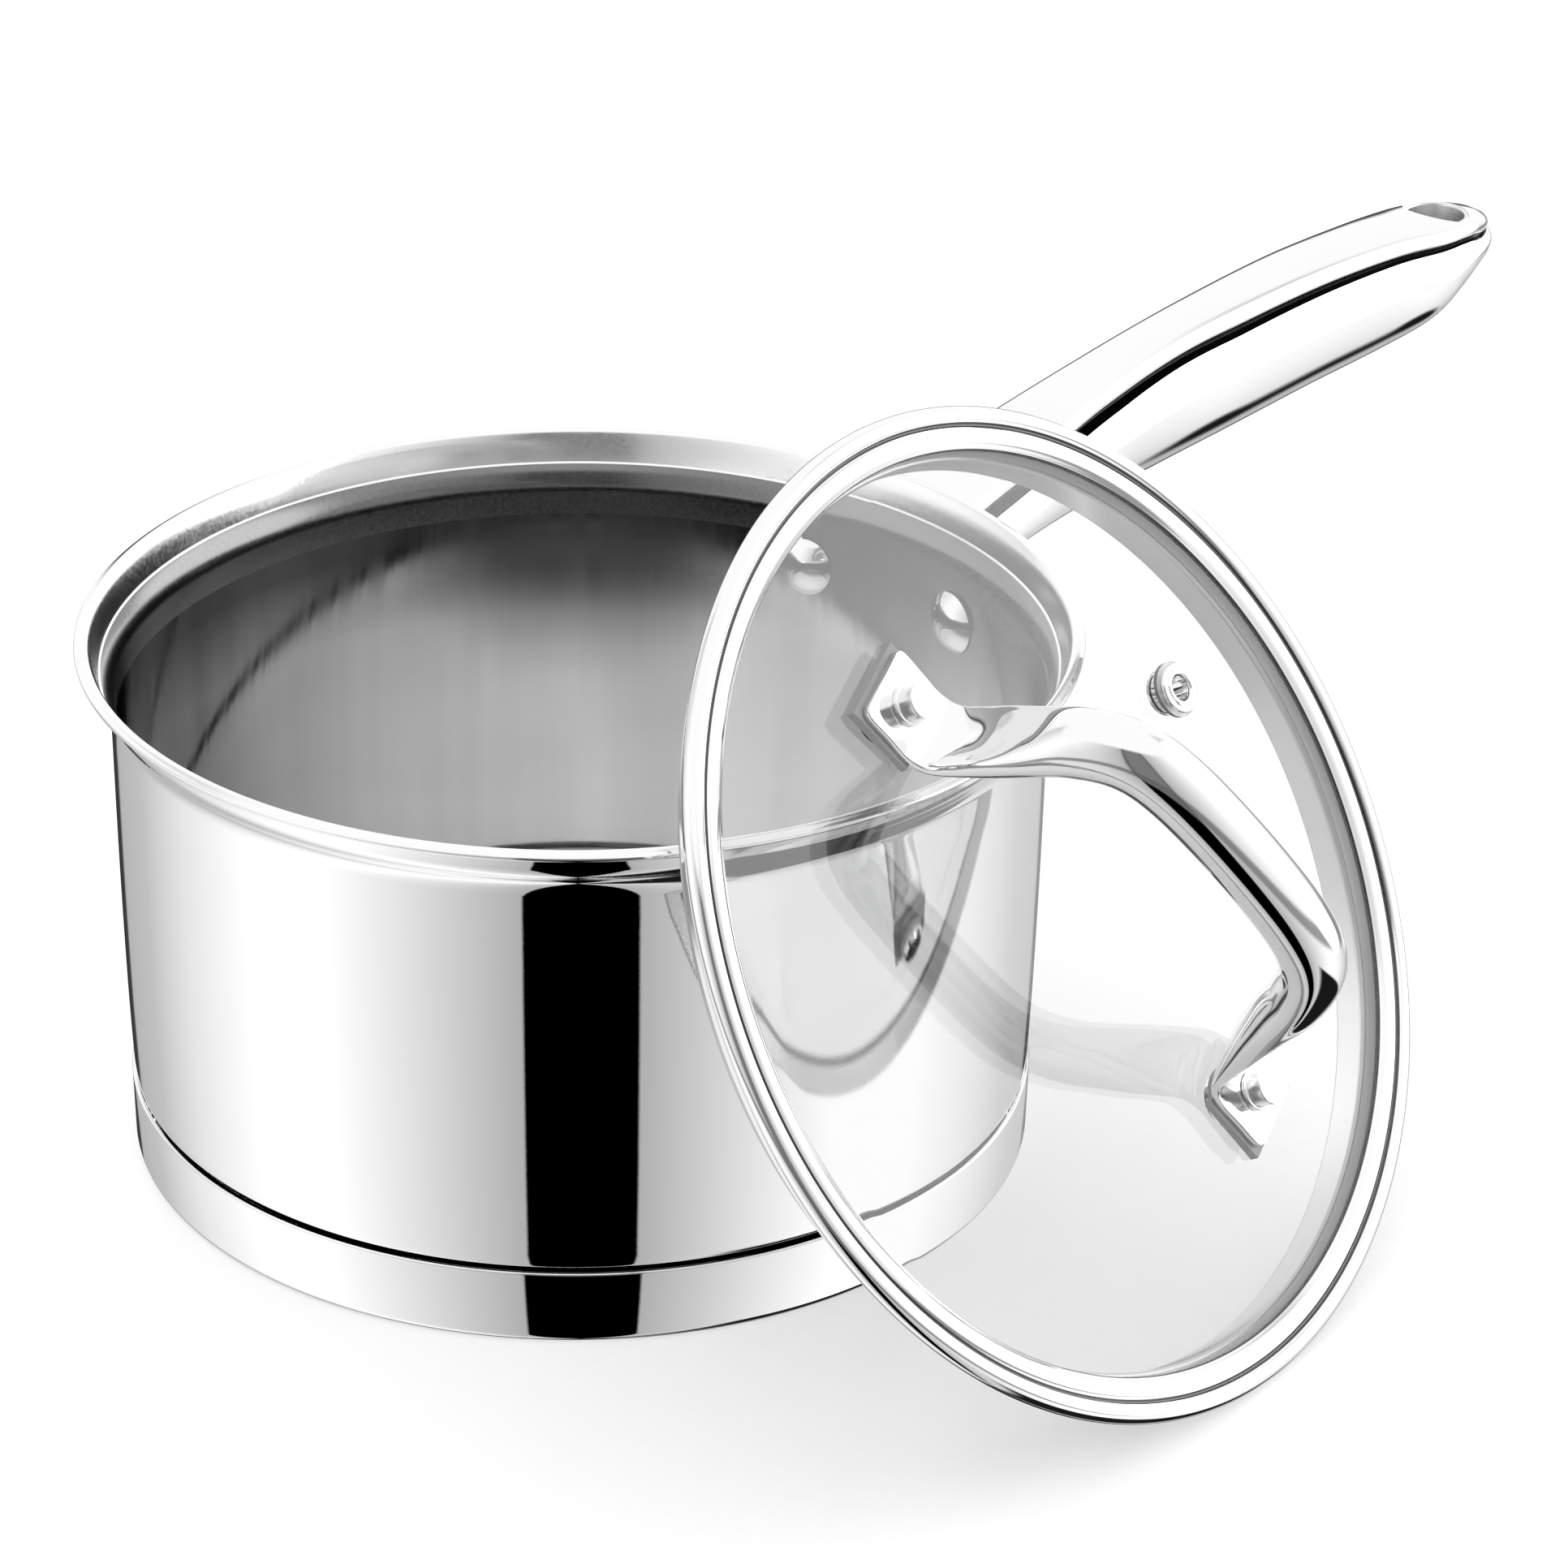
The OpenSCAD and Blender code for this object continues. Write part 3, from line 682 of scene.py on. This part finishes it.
def lid_handle():
    mirrored = [(-s[0],) + tuple(s[1:]) for s in reversed(LID_HANDLE_HALF[:-1])]
    path = spline(list(LID_HANDLE_HALF) + mirrored, 8)
    rings = []
    for i, (u, h, wide, thick, square, hollow) in enumerate(path):
        before = path[max(i - 1, 0)]
        after = path[min(i + 1, len(path) - 1)]
        du, dh = after[0] - before[0], after[1] - before[1]
        size = math.hypot(du, dh)
        ring = []
        for j in range(LID_HANDLE_SIDES):
            a = 2 * math.pi * j / LID_HANDLE_SIDES
            across = wide * rounded_power(math.cos(a), square)
            out = thick * rounded_power(math.sin(a), square)
            if out > 0:
                out -= hollow * (1 - abs(math.cos(a)) ** 2) ** 1.5
            ring.append((u - dh / size * out, across, h + du / size * out))
        rings.append(ring)
    verts, faces = loft(rings)
    return make_piece("lid_grip", placed(verts, LID), faces, [HANDLE], "lid",
                      ["lid_handle"], sharp=50)


# ---- looks of the CAD nodes that stay ----

NODE_MATERIALS = {
    "base_core": ALUMINIUM, "handle_bracket": HANDLE, "lid_rim_seal": SILICONE, "vent_gasket": GASKET,
    "lid_pad_upper": SHADED_PAD, "lid_pad_lower": SHADED_PAD,
    "lid_washer_upper": SILICONE, "lid_washer_lower": SILICONE, "lid_nut_upper": RIVET,
    "lid_nut_lower": RIVET,
}


def dress_nodes():
    for name, material in NODE_MATERIALS.items():
        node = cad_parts[name]
        node.data.materials.clear()
        node.data.materials.append(material)


# ---- studio ----

def studio_floor():
    size = 4.0
    mesh = bpy.data.meshes.new("floor")
    corners = [(-size, -size, 0), (size, -size, 0), (size, size, 0), (-size, size, 0)]
    mesh.from_pydata([(x, y, -0.0001) for x, y, _ in corners], [], [(0, 1, 2, 3)])
    n = Nodes("pale_floor")
    speck = n.noise(n.coords(), 500.0, 2.0)
    n.set(Base_Color=n.mix_colour(speck, grey(0.8), grey(0.82)))
    n.set(Roughness=0.3, Specular_IOR_Level=0.3)
    mesh.materials.append(n.material)
    floor = bpy.data.objects.new("floor", mesh)
    bpy.context.scene.collection.objects.link(floor)
    floor.visible_glossy = False


# Brightness round the studio against the angle from the camera's side, in degrees
SURROUND = (
    (0, 0.0), (14.1, 0.0), (14.25, 0.46), (18, 0.5), (30, 0.64), (45, 0.83), (65, 1.08), (92, 1.08),
    (100, 1.0), (115, 0.85), (130, 0.66), (138, 0.56), (157, 0.49), (159.5, 0.46), (162, 0.05), (180, 0.02),
)
CARD_TURN = 0.86
# Direction and strength of the lamp that the lid's glass mirrors to the camera
LAMP_SIDE = (0.787, -0.558, 0.262)
LAMP_STRENGTH = 2.7
# Grey band of the room's horizon
HORIZON_TONE = 0.12
HORIZON_DEPTH = 0.75
# Tone of the card before the camera, above the horizon
CARD_GREY = 0.2
ROOM_LIGHT = 1.5


def studio_world():
    """Even white light, and dark and grey cards and a lamp that only reflections show."""
    world = bpy.data.worlds.new("studio")
    bpy.context.scene.world = world
    world.use_nodes = True
    tree = world.node_tree
    tree.nodes.clear()

    def add(kind, settings=None, inputs=()):
        node = tree.nodes.new(kind)
        for key, value in (settings or {}).items():
            setattr(node, key, value)
        for socket, value in inputs:
            if isinstance(value, bpy.types.NodeSocket):
                tree.links.new(value, node.inputs[socket])
            else:
                node.inputs[socket].default_value = value
        return node

    def math_node(operation, a, b=0.0):
        return add("ShaderNodeMath", {"operation": operation}, ((0, a), (1, b))).outputs[0]

    def step(value, low, high):
        node = add("ShaderNodeMapRange", {"interpolation_type": "SMOOTHSTEP"},
                   (("Value", value), ("From Min", low), ("From Max", high)))
        return node.outputs["Result"]

    direction = add("ShaderNodeTexCoord").outputs["Generated"]
    flat = add("ShaderNodeVectorMath", {"operation": "MULTIPLY"}, ((0, direction), (1, (1, 1, 0))))
    unit = add("ShaderNodeVectorMath", {"operation": "NORMALIZE"}, ((0, flat.outputs[0]),))
    heading = math.atan2(CAMERA_PLACE[1], CAMERA_PLACE[0]) + math.radians(CARD_TURN)
    towards = (math.cos(heading), math.sin(heading), 0)
    facing = add("ShaderNodeVectorMath", {"operation": "DOT_PRODUCT"},
                 ((0, unit.outputs[0]), (1, towards))).outputs["Value"]
    angle = math_node("DIVIDE", math_node("ARCCOSINE", facing), math.pi)
    up = add("ShaderNodeSeparateXYZ", None, ((0, direction),)).outputs["Z"]

    ramp = add("ShaderNodeValToRGB", None, (("Fac", angle),))
    stops = ramp.color_ramp.elements
    while len(stops) < len(SURROUND):
        stops.new(1.0)
    for stop, (degrees, value) in zip(stops, SURROUND):
        stop.position = degrees / 180
        stop.color = grey(value)

    def mix(factor, a, b):
        node = add("ShaderNodeMix", {"data_type": "RGBA"}, ((0, factor), (6, a), (7, b)))
        return node.outputs[2]

    behind = step(facing, -0.6, -0.8)
    ahead = step(facing, 0.95, 0.99)
    sides = mix(math_node("MULTIPLY", step(up, -0.36, -0.28), ahead), ramp.outputs["Color"], grey(CARD_GREY))
    near_edge = math_node("MULTIPLY", behind, step(facing, -0.975, -0.955))
    sides = mix(math_node("MULTIPLY", step(up, -0.42, -0.34), near_edge), sides, grey(1.05))
    sides = mix(math_node("MULTIPLY", step(up, -0.1, 0.06), behind), sides, grey(1.05))
    horizon = math_node("MULTIPLY", step(up, -0.34, -0.24), step(up, -0.04, -0.14))
    sides = mix(math_node("MULTIPLY", horizon, HORIZON_DEPTH), sides, grey(HORIZON_TONE))
    sides = mix(step(up, 0.72, 0.8), sides, grey(1.05))
    lamp = add("ShaderNodeVectorMath", {"operation": "DOT_PRODUCT"},
               ((0, direction), (1, Vector(LAMP_SIDE).normalized()))).outputs["Value"]
    sides = mix(step(lamp, 0.8, 0.91), sides, grey(LAMP_STRENGTH))
    beside = (-math.sin(heading), math.cos(heading), 0)
    right = add("ShaderNodeVectorMath", {"operation": "DOT_PRODUCT"},
                ((0, unit.outputs[0]), (1, beside))).outputs["Value"]
    below = math_node("MULTIPLY", step(up, -0.64, -0.67), step(right, 0.55, 0.75))
    sides = mix(below, sides, grey(0.01))
    path = add("ShaderNodeLightPath").outputs
    shiny = math_node("MULTIPLY", math_node("GREATER_THAN", path["Glossy Depth"], 0.5),
                      math_node("LESS_THAN", path["Diffuse Depth"], 0.5))
    colour = mix(shiny, grey(ROOM_LIGHT), sides)
    light = add("ShaderNodeBackground", None, (("Color", colour), ("Strength", 1.0)))
    output = add("ShaderNodeOutputWorld")
    tree.links.new(light.outputs[0], output.inputs["Surface"])


def camera():
    heading, pitch, roll = (math.radians(a) for a in (CAMERA_HEADING, CAMERA_PITCH, CAMERA_ROLL))
    forward = Vector((math.cos(heading) * math.cos(pitch), math.sin(heading) * math.cos(pitch),
                      -math.sin(pitch)))
    level = forward.cross(Vector((0, 0, 1))).normalized()
    above = level.cross(forward)
    right = level * math.cos(roll) + above * math.sin(roll)
    up = right.cross(forward)
    data = bpy.data.cameras.new("camera")
    data.lens = CAMERA_LENS
    data.sensor_width = 36
    eye = bpy.data.objects.new("camera", data)
    turn = Matrix((right, up, -forward)).transposed().to_4x4()
    eye.matrix_world = Matrix.Translation(CAMERA_PLACE) @ turn
    bpy.context.scene.collection.objects.link(eye)
    bpy.context.scene.camera = eye


camera()
studio_floor()
studio_world()
bpy.context.scene.view_settings.view_transform = "Standard"

pan_shell()
base_cap()
rivets()
long_handle()
hang_hole_sleeve()
lid_rim()
vent_eyelet()
lid_posts()
lid_handle()
glass_disc()
dress_nodes()
